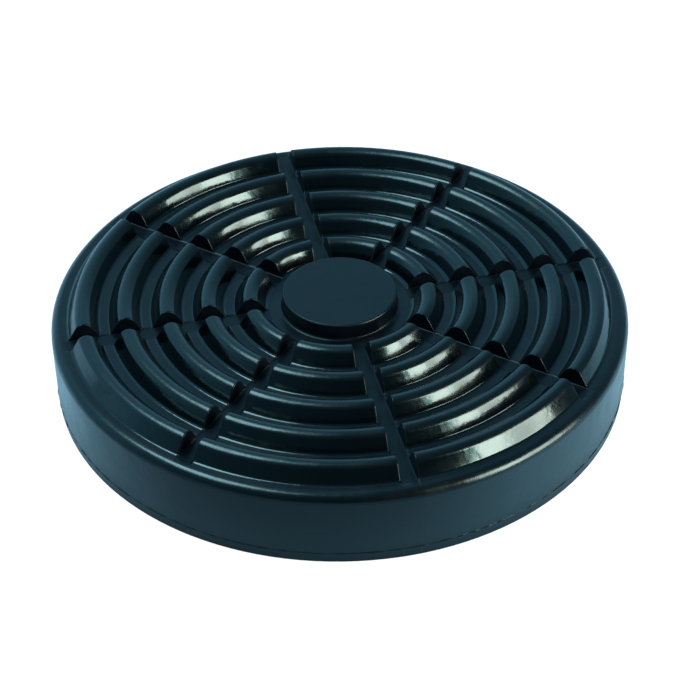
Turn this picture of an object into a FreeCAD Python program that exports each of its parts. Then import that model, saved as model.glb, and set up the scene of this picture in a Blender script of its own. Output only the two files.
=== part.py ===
"""Lift arm rubber pad: one round disc of moulded black rubber, ribbed on top.

The disc lies flat with its underside on the XY plane and its axis on Z.
From the middle outwards its top has a round boss, a flat ring floor, five concentric
arched ridges with flat valley floors between them, and a flat ledge inside the rounded rim.
Eight straight slots at 45 degrees cut through all the ridges.
All sizes are in millimetres and degrees.
"""
import FreeCAD, Part
import math
import os

# Overall disc
height = 23.6              # underside to the ridge crests and the top of the boss
outer_radius = 70.0        # widest place, just under the rounded rim
wall_lean = 0.3            # how far the side wall leans in towards the underside
rim_rounding = 2.4         # from the ledge over to the side wall
base_rounding = 0.4        # where the wall meets the underside
parting_height = 2.8       # the moulding's parting line, above the underside
parting_step = 0.15        # how far the wall stands back below the parting line

# Boss in the middle
boss_radius = 13.9
boss_edge_rounding = 0.5
boss_foot_rounding = 0.7

# Concentric ridges, the flat floors between them, and the floors at both ends of the row
ridge_count = 5
ridge_depth = 4.0          # crest to valley floor, and crest to ledge
crest_width = 2.4          # flat crest, before its edges are rounded
crest_rounding = 1.75
valley_width = 2.7         # flat valley floor, before its edges are rounded
foot_rounding = 1.3        # hollow rounding where a flank meets a floor
ring_floor_width = 4.1     # from the boss to the foot of the innermost ridge
ledge_width = 4.0          # from the foot of the outermost ridge to the widest place

# Straight slots across the ridges
slot_count = 8
slot_width = 4.0
slot_sink = 0.2            # slot floors and the ring floor lie this far below the valley floors

# Levels and lengths that follow from the sizes
full_turn = 360
valley_floor = height - ridge_depth
slot_floor = valley_floor - slot_sink
base_radius = outer_radius - wall_lean
ridges_start = boss_radius + ring_floor_width
ridges_span = outer_radius - ledge_width - ridges_start
flats = ridge_count * crest_width + (ridge_count - 1) * valley_width
flank_run = (ridges_span - flats) / (2 * ridge_count)
ridge_pitch = crest_width + 2 * flank_run + valley_width
flank_rise_per_run = ridge_depth / flank_run
flank_slope = math.atan(flank_rise_per_run)
foot_along_floor = foot_rounding * math.tan(flank_slope / 2)

centre = FreeCAD.Vector(0, 0, 0)
upwards = FreeCAD.Vector(0, 0, 1)


def rounded_outline(corners):
    """Closed wire in the XZ plane through corners given as (radius, height, rounding)."""
    points = [FreeCAD.Vector(radius, 0, level) for radius, level, _ in corners]
    arcs, run_starts, run_ends = [], [], []
    for i, (point, (_, _, rounding)) in enumerate(zip(points, corners)):
        to_last = (points[i - 1] - point).normalize()
        to_next = (points[(i + 1) % len(points)] - point).normalize()
        half_angle = to_last.getAngle(to_next) / 2
        tangent = rounding / math.tan(half_angle)
        run_ends.append(point + to_last * tangent)
        run_starts.append(point + to_next * tangent)
        if rounding > 0:
            inwards = (to_last + to_next).normalize()
            middle = point + inwards * (rounding / math.sin(half_angle) - rounding)
            arcs.append(Part.Arc(run_ends[i], middle, run_starts[i]).toShape())
    runs = [
        Part.makeLine(start, run_ends[(i + 1) % len(points)])
        for i, start in enumerate(run_starts)
    ]
    return Part.Wire(Part.__sortEdges__(runs + arcs))


def ridge_corners(number, inner_floor):
    """One ridge from its inner foot over the crest to its outer foot."""
    crest_start = ridges_start + number * ridge_pitch + flank_run
    crest_end = crest_start + crest_width
    inner_run = (height - inner_floor) / flank_rise_per_run
    return [
        (crest_start - inner_run, inner_floor, foot_rounding),
        (crest_start, height, crest_rounding),
        (crest_end, height, crest_rounding),
        (crest_end + flank_run, valley_floor, foot_rounding),
    ]


def boss_corners():
    """The boss from its foot on the ring floor to the middle of its flat top."""
    return [
        (boss_radius, slot_floor, boss_foot_rounding),
        (boss_radius, height, boss_edge_rounding),
        (0, height, 0),
    ]


def wall_corners():
    """The underside and the side wall, up to the rounded rim."""
    above_step = base_radius + parting_step
    wall_rise = valley_floor - rim_rounding - parting_height
    lean = (outer_radius - above_step) / wall_rise
    return [
        (0, 0, 0),
        (base_radius, 0, base_rounding),
        (base_radius, parting_height, 0),
        (above_step, parting_height, 0),
        (outer_radius + lean * rim_rounding, valley_floor, rim_rounding),
    ]


def disc():
    """The pad before its slots: half of its section, turned about the axis."""
    corners = wall_corners()
    for number in reversed(range(ridge_count)):
        inner_floor = slot_floor if number == 0 else valley_floor
        corners += reversed(ridge_corners(number, inner_floor))
    corners += boss_corners()
    return Part.Face(rounded_outline(corners)).revolve(centre, upwards, full_turn)


def slots():
    """The slots: straight bars across all the ridges, from the ring floor to the ledge."""
    start = ridge_corners(0, slot_floor)[0][0] - foot_along_floor
    end = ridge_corners(ridge_count - 1, valley_floor)[-1][0] + foot_along_floor
    floor_centre = FreeCAD.Vector(0, 0, slot_floor)
    bar_height = height - slot_floor + crest_rounding
    reach = Part.makeCylinder(end, bar_height, floor_centre)
    reach = reach.cut(Part.makeCylinder(start, bar_height, floor_centre))
    bars = []
    for number in range(slot_count):
        corner = FreeCAD.Vector(0, -slot_width / 2, slot_floor)
        bar = Part.makeBox(end, slot_width, bar_height, corner)
        bar.rotate(centre, upwards, number * full_turn / slot_count)
        bars.append(bar.common(reach))
    return bars


lift_pad = disc().cut(slots()).removeSplitter()

os.makedirs("parts", exist_ok=True)
lift_pad.exportStep("parts/lift_pad.step")
print("solids", len(lift_pad.Solids), "faces", len(lift_pad.Faces), "valid", lift_pad.isValid())
print("volume in cm3", round(lift_pad.Volume / 1000, 1))
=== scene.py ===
"""Lift arm rubber pad: the finished look of one round, ribbed rubber disc, lit and photographed."""
import bmesh
import bpy
import math
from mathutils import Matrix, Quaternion, Vector, noise


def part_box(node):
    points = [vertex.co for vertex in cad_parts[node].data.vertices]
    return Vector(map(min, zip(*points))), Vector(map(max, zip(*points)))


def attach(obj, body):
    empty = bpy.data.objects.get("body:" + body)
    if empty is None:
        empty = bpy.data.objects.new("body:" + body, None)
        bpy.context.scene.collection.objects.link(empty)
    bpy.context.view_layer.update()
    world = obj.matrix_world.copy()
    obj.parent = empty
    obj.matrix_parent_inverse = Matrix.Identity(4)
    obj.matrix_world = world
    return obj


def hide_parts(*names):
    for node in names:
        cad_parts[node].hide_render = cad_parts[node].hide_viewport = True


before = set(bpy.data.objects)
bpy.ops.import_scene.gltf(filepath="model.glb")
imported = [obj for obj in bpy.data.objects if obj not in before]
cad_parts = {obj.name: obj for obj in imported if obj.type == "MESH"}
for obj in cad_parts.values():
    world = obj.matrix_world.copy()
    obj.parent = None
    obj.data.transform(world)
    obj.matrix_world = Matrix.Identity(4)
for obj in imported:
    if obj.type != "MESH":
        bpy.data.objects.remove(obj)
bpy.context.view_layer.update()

# Moulded pad
# One disc of solid black rubber, pressed hot in a two-part mould. Its top has a flat boss, five
# concentric arched ridges and eight straight slots, which the mould's ribs leave 4 mm wide.
_, pad_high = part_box("lift_pad")
height = pad_high.z
outer_radius = pad_high.x
wall_lean = 0.0003
rim_rounding = 0.0024
base_rounding = 0.0004
parting_height = 0.0028
parting_step = 0.00015
boss_radius = 0.0139
boss_edge_rounding = 0.0005
boss_foot_rounding = 0.0007
ridge_count = 5
first_ridge = 0.02172
ridge_pitch = 0.01014
ridge_depth = 0.0040
crest_inwards = 0.00149
crest_outwards = 0.00123
inner_slope = math.radians(61.5)
outer_slope = math.radians(58.5)
inner_crest_rounding = 0.0025
outer_crest_rounding = 0.0021
inner_foot_rounding = 0.0013
outer_foot_rounding = 0.0010
rounding_segments = 6
slot_count = 8
slot_width = 0.0040
slot_sink = 0.0002

valley_floor = height - ridge_depth
slot_floor = valley_floor - slot_sink
base_radius = outer_radius - wall_lean
wall_radius = base_radius + parting_step
wall_rise = valley_floor - rim_rounding - parting_height
rim_lean = (wall_lean - parting_step) / wall_rise * rim_rounding

# Each corner of the half section is its radius, its level, and how far its rounding reaches
# along the straight lines beside it.
section = [
    (0, 0, 0),
    (base_radius, 0, base_rounding),
    (base_radius, parting_height, 0),
    (wall_radius, parting_height, 0),
    (outer_radius + rim_lean, valley_floor, rim_rounding),
]
for number in reversed(range(ridge_count)):
    crest_start = first_ridge + number * ridge_pitch - crest_inwards
    crest_end = first_ridge + number * ridge_pitch + crest_outwards
    inner_floor = slot_floor if number == 0 else valley_floor
    inner_foot = crest_start - (height - inner_floor) / math.tan(inner_slope)
    outer_foot = crest_end + ridge_depth / math.tan(outer_slope)
    section += [
        (outer_foot, valley_floor, outer_foot_rounding * math.tan(outer_slope / 2)),
        (crest_end, height, outer_crest_rounding * math.tan(outer_slope / 2)),
        (crest_start, height, inner_crest_rounding * math.tan(inner_slope / 2)),
        (inner_foot, inner_floor, inner_foot_rounding * math.tan(inner_slope / 2)),
    ]
section += [
    (boss_radius, slot_floor, boss_foot_rounding),
    (boss_radius, height, boss_edge_rounding),
    (0, height, 0),
]

pad = bmesh.new()
corners = [pad.verts.new((radius, 0, level)) for radius, level, _ in section]
for start, end in zip(corners, corners[1:]):
    pad.edges.new((start, end))
for reach in sorted({reach for _, _, reach in section if reach}):
    bmesh.ops.bevel(
        pad, geom=[corner for corner, (_, _, own_reach) in zip(corners, section) if own_reach == reach],
        offset=reach, offset_type="OFFSET", affect="VERTICES",
        segments=rounding_segments, profile=0.5, material=-1,
    )

# The half section is turned through one eighth of a turn, from the middle of one slot to the middle
# of the next. The columns beside each slot then move to where slot_side puts them: on the slot's
# floor, round the hollow at its wall's foot, up the wall and over the rounded edge. The columns
# between them share the rest of the ridge evenly.
sector = 2 * math.pi / slot_count
half_slot = slot_width / 2
slots_start = 0.0171
slots_end = 0.0667
past_slot = 0.0005
beside_wall = 0.0009
wall_foot_rounding = 0.0003
wall_edge_rounding = 0.0002
wall_draft = 0.00004
low_wall_rounding = 0.0005
arc_steps = 3
arc_turns = [math.pi / 2 * step / arc_steps for step in range(arc_steps + 1)]
floor_columns = 2
side_columns = floor_columns + 2 * len(arc_turns)
plain_columns = 15
columns = 2 * side_columns + plain_columns
touching = 1e-6
no_length = 1e-7


def slot_side(top):
    """How far each column is from the slot's middle, and its level, where the pad's top is at top."""
    rise = max(top - slot_floor, 0)
    foot = min(wall_foot_rounding, rise / 2)
    edge = min(wall_edge_rounding, rise / 2)
    foot_width = max(foot, low_wall_rounding - foot)
    edge_width = max(edge, low_wall_rounding - edge)
    floor_level = min(top, slot_floor)
    places = [(0, floor_level), (half_slot - beside_wall, floor_level)]
    for turn in arc_turns:
        from_middle = half_slot - wall_draft - foot_width * (1 - math.sin(turn))
        places.append((from_middle, floor_level + foot * (1 - math.cos(turn))))
    for turn in arc_turns:
        from_middle = half_slot + edge_width * (1 - math.cos(turn))
        places.append((from_middle, top - edge * (1 - math.sin(turn))))
    return places


bmesh.ops.spin(
    pad, geom=pad.verts[:] + pad.edges[:], cent=(0, 0, 0), axis=(0, 0, 1),
    angle=sector, steps=columns, use_merge=False, use_duplicate=False,
)
for vert in pad.verts:
    radius = math.hypot(vert.co.x, vert.co.y)
    if radius < touching:
        continue
    column = round(math.atan2(vert.co.y, vert.co.x) / sector * columns)
    from_side = min(column, columns - column)
    slot_radius = min(max(radius, slots_start), slots_end)
    if from_side < side_columns:
        slotted = vert.co.z > parting_height and slots_start < radius < slots_end + past_slot
        from_middle, level = slot_side(vert.co.z if slotted else slot_floor)[from_side]
        turn = math.asin(from_middle / slot_radius)
        if slotted:
            vert.co.z = level
    else:
        first_turn = math.asin((half_slot + beside_wall) / slot_radius)
        share = (from_side - side_columns) / plain_columns
        turn = first_turn + share * (sector - 2 * first_turn)
    if column > from_side:
        turn = sector - turn
    vert.co.x = radius * math.cos(turn)
    vert.co.y = radius * math.sin(turn)
bmesh.ops.spin(
    pad, geom=pad.verts[:] + pad.edges[:] + pad.faces[:], cent=(0, 0, 0), axis=(0, 0, 1),
    angle=sector * (slot_count - 1), steps=slot_count - 1, use_merge=False, use_duplicate=True,
)
bmesh.ops.remove_doubles(pad, verts=pad.verts, dist=touching)
bmesh.ops.dissolve_degenerate(pad, edges=pad.edges, dist=no_length)
bmesh.ops.recalc_face_normals(pad, faces=pad.faces)

# The mould was turned smooth where it forms the ridges and the side wall, so they come out glossy.
# The floors and the boss come out matte, and the slots that its ribs leave come out dull.
glossy, matte, dull = range(3)
floor_margin = 0.00002
level_enough = 0.97
for face in pad.faces:
    middle = face.calc_center_median()
    from_axis = math.hypot(middle.x, middle.y)
    from_slot = math.remainder(math.atan2(middle.y, middle.x), sector)
    in_slot = abs(from_axis * math.sin(from_slot)) < half_slot + past_slot
    on_boss = from_axis < boss_radius + boss_foot_rounding
    on_floor = middle.z < valley_floor + floor_margin and face.normal.z > level_enough
    if middle.z <= parting_height:
        face.material_index = glossy
    elif in_slot and slots_start < from_axis < slots_end:
        face.material_index = dull
    elif on_floor or on_boss:
        face.material_index = matte

pad_mesh = bpy.data.meshes.new("moulded_pad")
pad.to_mesh(pad_mesh)
pad.free()
pad_mesh.shade_smooth()
moulded_pad = bpy.data.objects.new("moulded_pad", pad_mesh)
bpy.context.scene.collection.objects.link(moulded_pad)
even_shading = moulded_pad.modifiers.new("even_shading", "WEIGHTED_NORMAL")
even_shading.keep_sharp = True

# The rubber mirrors light a little blue. Its surface swells and waves slowly, and carries the rings
# of the mould's turning and a fine skin, each given here as its size, its detail and its depth.
# Crests and rim are scuffed from use.
mirrored_tint = (0.60, 0.94, 1.0, 1)
swell = (0.018, 1, 0.0003)
waves = (0.0025, 4, 0.00005)
turning_marks = (0.0004, 1, 0.000005)
skin = (0.0006, 2, 0.000004)
mark_length = 0.003
smudge_size = 0.006
smudge_detail = 3
smudge_start = 0.35
smudge_end = 0.65
smudge_change = 0.2
scuff_start = 0.0012
scuff_full = 0.0003


def finish_step(tree, kind, output, inputs, **settings):
    """One output of a new shader node, whose inputs take values or the outputs of other nodes."""
    node = tree.nodes.new("ShaderNode" + kind)
    for setting, choice in settings.items():
        setattr(node, setting, choice)
    for socket, value in inputs.items():
        if isinstance(value, bpy.types.NodeSocket):
            tree.links.new(value, node.inputs[socket])
        else:
            node.inputs[socket].default_value = value
    return node.outputs[output]


def moulded_rubber(name, tone, specular, roughness, wear):
    """Rubber as it comes from the mould, with smudges, and with scuffs as strong as wear."""
    rubber = bpy.data.materials.new(name)
    rubber.use_nodes = True
    tree = rubber.node_tree
    shader = tree.nodes["Principled BSDF"]
    shader.inputs["Base Color"].default_value = tone
    shader.inputs["Specular IOR Level"].default_value = specular
    shader.inputs["Specular Tint"].default_value = mirrored_tint

    def noise_at(place, size, detail):
        """Random shades from 0 to 1, in spots of that size."""
        inputs = {"Vector": place, "Scale": 1 / size, "Detail": detail}
        return finish_step(tree, "TexNoise", "Fac", inputs)

    def scuff(where, clean, scuffed):
        """Wear that grows from nothing at clean to its full strength at scuffed."""
        inputs = {"Value": where, "From Min": clean, "From Max": scuffed, "To Max": wear}
        return finish_step(tree, "MapRange", "Result", inputs)

    here = finish_step(tree, "TexCoord", "Object", {})
    level_here = finish_step(tree, "SeparateXYZ", "Z", {0: here})
    flat = finish_step(tree, "VectorMath", "Vector", {0: here, 1: (1, 1, 0)}, operation="MULTIPLY")
    radius_here = finish_step(tree, "VectorMath", "Value", {0: flat}, operation="LENGTH")
    smudges = finish_step(
        tree, "MapRange", "Result",
        {
            "Value": noise_at(here, smudge_size, smudge_detail),
            "From Min": smudge_start, "From Max": smudge_end,
            "To Min": roughness * (1 - smudge_change), "To Max": roughness * (1 + smudge_change),
        },
        interpolation_type="SMOOTHSTEP",
    )
    crest_scuff = scuff(level_here, height - scuff_start, height - scuff_full)
    rim_scuff = scuff(radius_here, outer_radius - rim_rounding, outer_radius - rim_rounding / 2)
    scuffs = finish_step(tree, "Math", "Value", {0: crest_scuff, 1: rim_scuff}, operation="MAXIMUM")
    worn = finish_step(tree, "Math", "Value", {0: scuffs, 1: smudges}, operation="ADD")
    tree.links.new(worn, shader.inputs["Roughness"])

    outwards = finish_step(tree, "VectorMath", "Vector", {0: flat}, operation="NORMALIZE")
    along = finish_step(
        tree, "VectorMath", "Vector", {0: outwards, "Scale": mark_length}, operation="SCALE",
    )
    across = finish_step(tree, "Math", "Value", {0: radius_here, 1: level_here}, operation="SUBTRACT")
    upwards = finish_step(tree, "CombineXYZ", "Vector", {"Z": across})
    turned = finish_step(tree, "VectorMath", "Vector", {0: along, 1: upwards}, operation="ADD")
    relief = {}
    for place, (size, detail, depth) in (
        (here, swell), (here, waves), (turned, turning_marks), (here, skin),
    ):
        relief["Height"] = noise_at(place, size, detail)
        relief["Distance"] = depth
        relief["Normal"] = finish_step(tree, "Bump", "Normal", relief)
    tree.links.new(relief["Normal"], shader.inputs["Normal"])
    return rubber


glossy_tone = (0.0007, 0.0018, 0.0024, 1)
matte_tone = (0.0012, 0.0040, 0.0080, 1)
glossy_rubber = moulded_rubber("glossy_rubber", glossy_tone, specular=0.74, roughness=0.135, wear=0.12)
matte_rubber = moulded_rubber("matte_rubber", matte_tone, specular=0.42, roughness=0.36, wear=0)
dull_rubber = moulded_rubber("dull_rubber", matte_tone, specular=0.30, roughness=0.38, wear=0)
moulded_pad.data.materials.append(glossy_rubber)
moulded_pad.data.materials.append(matte_rubber)
moulded_pad.data.materials.append(dull_rubber)
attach(moulded_pad, "root")
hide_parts("lift_pad")

# Parting flash
# A thin fin of rubber where the two halves of the mould met, low on the side wall. It was trimmed
# off by hand, which left it ragged and nicked.
flash_steps = 900
flash_reach = 0.00013
flash_root_half = 0.0003
flash_tip_half = 0.0001
bite_size = 0.0022
bite_depth = 1.6
mean_share = 0.55
least_share = 0.05
flash = bmesh.new()
fin = [
    flash.verts.new((radius, 0, parting_height + level))
    for radius, level in (
        (base_radius - parting_step, -flash_root_half),
        (wall_radius + flash_reach, -flash_tip_half),
        (wall_radius + flash_reach, flash_tip_half),
        (base_radius, flash_root_half),
    )
]
for start, end in zip(fin, fin[1:] + fin[:1]):
    flash.edges.new((start, end))
bmesh.ops.spin(
    flash, geom=flash.verts[:] + flash.edges[:], cent=(0, 0, 0), axis=(0, 0, 1),
    angle=2 * math.pi, steps=flash_steps, use_merge=True, use_duplicate=False,
)
for vert in flash.verts:
    radius = math.hypot(vert.co.x, vert.co.y)
    if radius > wall_radius:
        outwards = Vector((vert.co.x, vert.co.y, 0)) / radius
        bite = noise.noise(outwards * base_radius / bite_size)
        share = min(max(mean_share + bite_depth * bite, least_share), 1)
        vert.co.xy = (outwards * (wall_radius + flash_reach * share)).xy
bmesh.ops.recalc_face_normals(flash, faces=flash.faces)
flash_mesh = bpy.data.meshes.new("parting_flash")
flash.to_mesh(flash_mesh)
flash.free()
flash_mesh.materials.append(matte_rubber)
parting_flash = bpy.data.objects.new("parting_flash", flash_mesh)
bpy.context.scene.collection.objects.link(parting_flash)
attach(parting_flash, "root")

# Floor and backdrop
# A plain white sweep, white to the camera. In the rubber it shows as a painted reflection, a cool grey
# glow with painted shade on the camera's side, a painted shadow at the pad's foot, and darker far away
# from it.
floor_size = 8
floor_tone = (0.14, 0.17, 0.19, 1)
photo_azimuth = math.radians(-13.28)
brighter_towards = (0.29, 0.96, 0)
dark_until = -0.089
bright_from = -0.034
# Painted reflection of the paper, a cool grey glow seen only in the rubber, with painted shade on the
# camera's side.
paper_reflection_shaded = (0.095, 0.18, 0.26)
paper_reflection_lit = (0.41, 0.79, 1.03)
# Painted shadow round the pad's foot in the mirrored paper, and painted shade far away from the pad.
painted_paper_shadow_stops = ((0.070, 0.6), (0.074, 1), (0.1, 1), (0.6, 0.5))


def as_seen(direction):
    """A direction given as the camera sees it, right, away and up, in the pad's own frame."""
    return Quaternion((0, 0, 1), photo_azimuth) @ Vector(direction).normalized()


def brightness_along(tree, where, stops):
    """Grey that follows where, a number from 0 to 1, through stops of its value and brightness."""
    ramp = tree.nodes.new("ShaderNodeValToRGB")
    shades = ramp.color_ramp.elements
    for place, brightness in stops:
        shades.new(place).color = (brightness, brightness, brightness, 1)
    shades.remove(shades[0])
    shades.remove(shades[-1])
    tree.links.new(where, ramp.inputs[0])
    return ramp.outputs["Color"]


floor_mesh = bpy.data.meshes.new("floor")
floor_shape = bmesh.new()
bmesh.ops.create_grid(floor_shape, x_segments=1, y_segments=1, size=floor_size / 2)
floor_shape.to_mesh(floor_mesh)
floor_shape.free()
floor = bpy.data.objects.new("floor", floor_mesh)
bpy.context.scene.collection.objects.link(floor)

paper = bpy.data.materials.new("white_paper")
paper.use_nodes = True
sweep = paper.node_tree
sweep.nodes.clear()
on_paper = finish_step(sweep, "TexCoord", "Object", {})
from_pad = finish_step(sweep, "VectorMath", "Value", {0: on_paper}, operation="LENGTH")
away = finish_step(
    sweep, "VectorMath", "Value", {0: on_paper, 1: as_seen(brighter_towards)}, operation="DOT_PRODUCT",
)
shaded = finish_step(
    sweep, "MapRange", "Vector",
    {
        "Vector": away, "From Min": [dark_until] * 3, "From Max": [bright_from] * 3,
        "To Min": paper_reflection_shaded, "To Max": paper_reflection_lit,
    },
    data_type="FLOAT_VECTOR", interpolation_type="SMOOTHSTEP",
)
# The mirrored paper's painted shade and painted shadow together.
painted_paper_shade = finish_step(
    sweep, "VectorMath", "Vector", {0: shaded, 1: brightness_along(sweep, from_pad, painted_paper_shadow_stops)},
    operation="MULTIPLY",
)
rays = sweep.nodes.new("ShaderNodeLightPath").outputs
white = finish_step(
    sweep, "Math", "Value", {0: rays["Is Camera Ray"], 1: rays["Is Transmission Ray"]},
    operation="MAXIMUM",
)
shown = finish_step(
    sweep, "Mix", "Result", {"Factor": rays["Is Glossy Ray"], "A": white, "B": painted_paper_shade}, data_type="RGBA",
)
glow = finish_step(sweep, "Emission", "Emission", {"Color": shown})
lit = finish_step(sweep, "BsdfDiffuse", "BSDF", {"Color": floor_tone})
both = finish_step(sweep, "AddShader", "Shader", {0: lit, 1: glow})
sweep.links.new(both, sweep.nodes.new("ShaderNodeOutputMaterial").inputs["Surface"])
floor_mesh.materials.append(paper)

# Studio light
# A cool room, dim on the camera's side and brighter behind the pad, and white to the camera itself.
# A row of four tall window panes stands to the right and in front, and one wide soft light hangs
# overhead on the left.
room_towards = (-0.52, 0.85, -0.05)
room_tint = (0.36, 0.79, 1.07, 1)
room_stops = (
    (0.07, 0.06), (0.37, 0.17), (0.54, 0.26), (0.68, 0.44),
    (0.81, 0.70), (0.94, 0.68), (0.97, 0.78), (0.995, 1.1),
)
studio = bpy.data.worlds.new("studio")
studio.use_nodes = True
room = studio.node_tree
backdrop = room.nodes["Background"]
looking = finish_step(room, "TexCoord", "Generated", {})
towards_back = finish_step(
    room, "VectorMath", "Value", {0: looking, 1: as_seen(room_towards)}, operation="DOT_PRODUCT",
)
room_place = finish_step(room, "MapRange", "Result", {"Value": towards_back, "From Min": -1})
by_camera = finish_step(room, "LightPath", "Is Camera Ray", {})
room_color = finish_step(
    room, "Mix", "Result", {"Factor": by_camera, "A": room_tint, "B": (1, 1, 1, 1)}, data_type="RGBA",
)
room_strength = finish_step(
    room, "Math", "Value", {0: by_camera, 1: brightness_along(room, room_place, room_stops)},
    operation="MAXIMUM",
)
room.links.new(room_color, backdrop.inputs["Color"])
room.links.new(room_strength, backdrop.inputs["Strength"])
bpy.context.scene.world = studio

lamp_distance = 1.2
daylight = (1.0, 0.83, 0.70)
shaded_daylight = (0.78, 0.92, 0.78)
cool_white = (0.79, 0.95, 1.0)
pane_elevation = 20
pane_height = 0.60
panes = (
    ("window_edge", -40, 0.075, 4.5, shaded_daylight),
    ("window_left", -31.5, 0.275, 17, daylight),
    ("window_middle", -20.5, 0.18, 8.5, daylight),
    ("window_right", -11, 0.21, 12, daylight),
)
overhead_place = Vector((-0.45, 0.12, 1.0)) * lamp_distance
overhead_width = 0.54
overhead_depth = 0.70
overhead_radiance = 7


def direction_of(azimuth, elevation):
    """A direction from its angles in degrees, azimuth from the camera's right towards the back."""
    turn = math.radians(azimuth)
    rise = math.radians(elevation)
    return (math.cos(turn) * math.cos(rise), math.sin(turn) * math.cos(rise), math.sin(rise))


def soft_light(name, towards, distance, width, depth, radiance, color, back):
    """One rectangular lamp in that direction. It shines the opposite way to back."""
    lamp = bpy.data.lights.new(name, "AREA")
    lamp.shape = "RECTANGLE"
    lamp.size = width
    lamp.size_y = depth
    lamp.energy = radiance * math.pi * width * depth
    lamp.color = color
    holder = bpy.data.objects.new(name, lamp)
    holder.location = as_seen(towards) * distance
    holder.rotation_euler = as_seen(back).to_track_quat("Z", "Y").to_euler()
    bpy.context.scene.collection.objects.link(holder)


for name, azimuth, width, radiance, color in panes:
    window = direction_of(azimuth, pane_elevation)
    soft_light(name, window, lamp_distance, width, pane_height, radiance, color, back=window)
soft_light(
    "overhead_light", overhead_place, overhead_place.length,
    overhead_width, overhead_depth, overhead_radiance, cool_white, back=(0, 0, 1),
)

# Camera
# A long lens, in front of the pad and above it.
camera_elevation = math.radians(38.71)
camera_distance = 0.5333
camera_roll = math.radians(-0.672)
picture_size = 700
focal_pixels = 2203.1
film_width = 36
aimed_right = 0.00238
aimed_down = 0.01442
back = as_seen((0, -math.cos(camera_elevation), math.sin(camera_elevation)))
upright = as_seen((0, math.sin(camera_elevation), math.cos(camera_elevation)))
aimed_at = Vector((0, 0, height)) + as_seen((1, 0, 0)) * aimed_right - upright * aimed_down
lens = bpy.data.cameras.new("camera")
lens.sensor_width = film_width
lens.lens = focal_pixels / picture_size * film_width
camera = bpy.data.objects.new("camera", lens)
camera.location = aimed_at + back * camera_distance
aim = back.to_track_quat("Z", "Y") @ Quaternion((0, 0, 1), camera_roll)
camera.rotation_euler = aim.to_euler()
bpy.context.scene.collection.objects.link(camera)
bpy.context.scene.camera = camera
bpy.context.scene.view_settings.view_transform = "Standard"
